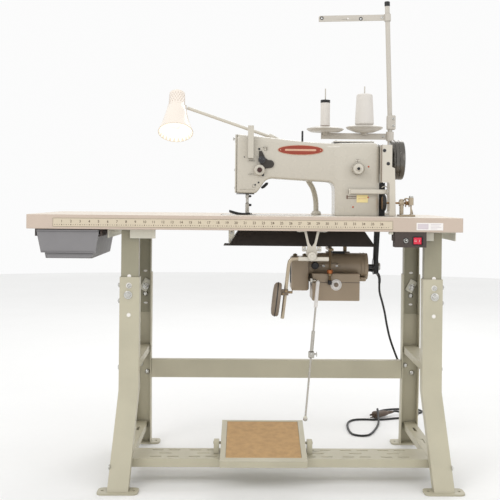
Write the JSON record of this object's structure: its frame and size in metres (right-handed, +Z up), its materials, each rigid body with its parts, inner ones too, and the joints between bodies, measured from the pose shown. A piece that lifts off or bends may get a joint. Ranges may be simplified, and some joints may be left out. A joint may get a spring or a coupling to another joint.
{
  "type": "industrial sewing machine",
  "caption": "Flat-bed industrial sewing machine in a table on a K-leg stand, with a clutch motor, belt, treadle, knee lifter, drawer, lamp and thread stand.",
  "frame": {"origin": "on the floor, under the middle of the machine's footprint without its power lead", "axes": "+Z up; -Y towards the operator; +X to the operator's right, towards the handwheel"},
  "size_m": [1.2768, 1.0128, 1.4463],
  "materials": {
    "laminate": "beige laminate, satin",
    "stand_paint": "greenish beige, semi-gloss",
    "head_enamel": "ivory grey enamel, glossy",
    "cream_paint": "off-white, semi-gloss",
    "motor_paint": "brown grey, satin",
    "pan_black": "near black, matt",
    "dark_iron": "dark grey, polished",
    "steel": "bright steel",
    "brass": "dull brass",
    "grey_plastic": "mid grey, matt",
    "box_black": "dark grey, grained",
    "rocker_red": "red, glossy",
    "rubber": "black, matt",
    "pad_grey": "grey green, matt",
    "plug_brown": "brown, satin",
    "thread": "off-white wound thread",
    "shade_white": "white, glossy"
  },
  "bodies": {
    "stand": {"crossbar": "stand_paint", "foot_rail": "stand_paint", "left_back_leg": "stand_paint", "left_back_slide": "stand_paint", "left_front_leg": "stand_paint", "left_front_slide": "stand_paint", "left_lower_brace": "stand_paint", "left_pedal_bracket": "stand_paint", "left_top_rail": "stand_paint", "left_upper_brace": "stand_paint", "right_back_leg": "stand_paint", "right_back_slide": "stand_paint", "right_front_leg": "stand_paint", "right_front_slide": "stand_paint", "right_lower_brace": "stand_paint", "right_pedal_bracket": "stand_paint", "right_top_rail": "stand_paint", "right_upper_brace": "stand_paint", "table_top": "laminate", "drip_pan": "pan_black", "switch_box": "box_black", "drawer_hanger": "box_black", "motor_bracket": "steel", "motor_housing": "motor_paint", "motor_control_box": "motor_paint", "knee_hanger": "cream_paint", "drive_belt": "rubber", "thread_post": "cream_paint", "spool_arm": "cream_paint", "winder_base": "steel", "power_cord": "rubber", "power_plug": "plug_brown"},
    "head": {"bed_plate": "head_enamel", "arm_casting": "head_enamel", "face_plate": "head_enamel", "belt_guard": "cream_paint", "take_up_guard": "head_enamel"},
    "rocker": {"switch_rocker": "rocker_red"},
    "drawer": {"drawer": "grey_plastic"},
    "treadle": {"pedal": "stand_paint"},
    "pitman": {"pitman_rod": "steel"},
    "clutch_lever": {"motor_lever": "steel"},
    "motor_pulley": {"motor_pulley": "dark_iron"},
    "knee_lever": {"knee_rod": "steel", "knee_pad": "pad_grey"},
    "thread_guide": {"guide_arm": "cream_paint"},
    "tube_of_thread": {"thread_tube": "thread"},
    "cone_of_thread": {"thread_cone": "thread"},
    "winder": {"winder_wheel": "brass"},
    "lamp_arm": {"lamp_arm": "cream_paint"},
    "lamp_shade": {"lamp_shade": "shade_white"},
    "handwheel": {"handwheel": "dark_iron", "main_shaft": "steel"},
    "needle": {"needle_bar": "steel"},
    "presser": {"presser_bar": "steel"},
    "take_up": {"take_up_lever": "steel"},
    "stitch_dial": {"stitch_dial": "cream_paint"},
    "reverse_lever": {"reverse_lever": "cream_paint"},
    "tension_knob": {"tension_knob": "cream_paint"},
    "hook": {"hook": "steel"}
  },
  "joints": [
    {"name": "head_tilt", "type": "hinge", "parent": "stand", "child": "head", "pos_m": [0, 0.141, 0.745], "axis": [-1, 0, 0], "range_deg": [0, 35], "deforming": ["drive_belt"]},
    {"name": "handwheel_turn", "type": "hinge", "parent": "head", "child": "handwheel", "pos_m": [0.41, 0.052, 0.917], "axis": [1, 0, 0], "continuous": true},
    {"name": "hook_turn", "type": "hinge", "parent": "head", "child": "hook", "pos_m": [0.026, 0.052, 0.7], "axis": [0, 0, 1], "continuous": true},
    {"name": "needle_stroke", "type": "slide", "parent": "head", "child": "needle", "axis": [0, 0, 1], "range_m": [-0.004, 0.03]},
    {"name": "presser_lift", "type": "slide", "parent": "head", "child": "presser", "axis": [0, 0, 1], "range_m": [0, 0.012]},
    {"name": "take_up", "type": "hinge", "parent": "head", "child": "take_up", "pos_m": [0.0117, 0.064, 0.955], "axis": [1, 0, 0], "range_deg": [-15, 30]},
    {"name": "stitch_dial_turn", "type": "hinge", "parent": "head", "child": "stitch_dial", "pos_m": [0.333, -0.007, 0.886], "axis": [0, 1, 0], "range_deg": [-150, 150]},
    {"name": "reverse_press", "type": "hinge", "parent": "head", "child": "reverse_lever", "pos_m": [0.378, -0.019, 0.818], "axis": [0, -1, 0], "range_deg": [0, 12], "stiffness_Nm_per_rad": 1, "springref_deg": -17.19},
    {"name": "tension_turn", "type": "hinge", "parent": "head", "child": "tension_knob", "pos_m": [0.039, 0.012, 0.88], "axis": [0, 1, 0], "range_deg": [-180, 180]},
    {"name": "lamp_swivel", "type": "hinge", "parent": "head", "child": "lamp_arm", "pos_m": [0.219, 0.12, 0.745], "axis": [0, 0, 1], "range_deg": [-60, 0]},
    {"name": "lamp_tilt", "type": "hinge", "parent": "lamp_arm", "child": "lamp_shade", "pos_m": [-0.185, 0.058, 1.069], "axis": [1, 0, 0], "range_deg": [-25, 30]},
    {"name": "motor_turn", "type": "hinge", "parent": "stand", "child": "motor_pulley", "pos_m": [0.41, 0.142, 0.583], "axis": [1, 0, 0], "continuous": true},
    {"name": "knee_lift", "type": "hinge", "parent": "stand", "child": "knee_lever", "pos_m": [0.187, -0.17, 0.634], "axis": [0, -1, 0], "range_deg": [0, 20], "stiffness_Nm_per_rad": 2, "springref_deg": -22.92},
    {"name": "pedal_tilt", "type": "hinge", "parent": "stand", "child": "treadle", "pos_m": [0.055, -0.138, 0.098], "axis": [1, 0, 0], "range_deg": [-8, 6]},
    {"name": "pitman_lift", "type": "slide", "parent": "stand", "child": "pitman", "axis": [0, 0, 1], "range_m": [-0.018, 0.0135]},
    {"name": "motor_lever_turn", "type": "hinge", "parent": "stand", "child": "clutch_lever", "pos_m": [0.1982, 0.107, 0.545], "axis": [1, 0, 0], "range_deg": [-13, 17.5]},
    {"name": "drawer_slide", "type": "slide", "parent": "stand", "child": "drawer", "axis": [0, -1, 0], "range_m": [0, 0.28]},
    {"name": "rocker_press", "type": "hinge", "parent": "stand", "child": "rocker", "pos_m": [0.4809, -0.1945, 0.6805], "axis": [0, 0, 1], "range_deg": [0, 16]},
    {"name": "guide_arm_swivel", "type": "hinge", "parent": "stand", "child": "thread_guide", "pos_m": [0.45825, 0.257, 1.3935], "axis": [-0.034, 0, 0.9994], "range_deg": [-45, 45]},
    {"name": "thread_tube_spin", "type": "hinge", "parent": "stand", "child": "tube_of_thread", "pos_m": [0.2563, 0.257, 1.02], "axis": [0, 0, 1], "continuous": true},
    {"name": "thread_cone_spin", "type": "hinge", "parent": "stand", "child": "cone_of_thread", "pos_m": [0.3854, 0.257, 1.02], "axis": [0, 0, 1], "continuous": true},
    {"name": "winder_spin", "type": "hinge", "parent": "stand", "child": "winder", "pos_m": [0.41, -0.024, 0.785], "axis": [1, 0, 0], "continuous": true}
  ],
  "couplings": [
    {"joint": "hook_turn", "follows": "handwheel_turn", "ratio": 2},
    {"joint": "motor_turn", "follows": "handwheel_turn", "ratio": 1.953},
    {"joint": "presser_lift", "follows": "knee_lift", "m_per_rad": 0.03438},
    {"joint": "pitman_lift", "follows": "pedal_tilt", "m_per_rad": 0.125},
    {"joint": "motor_lever_turn", "follows": "pedal_tilt", "ratio": -2.12}
  ]
}
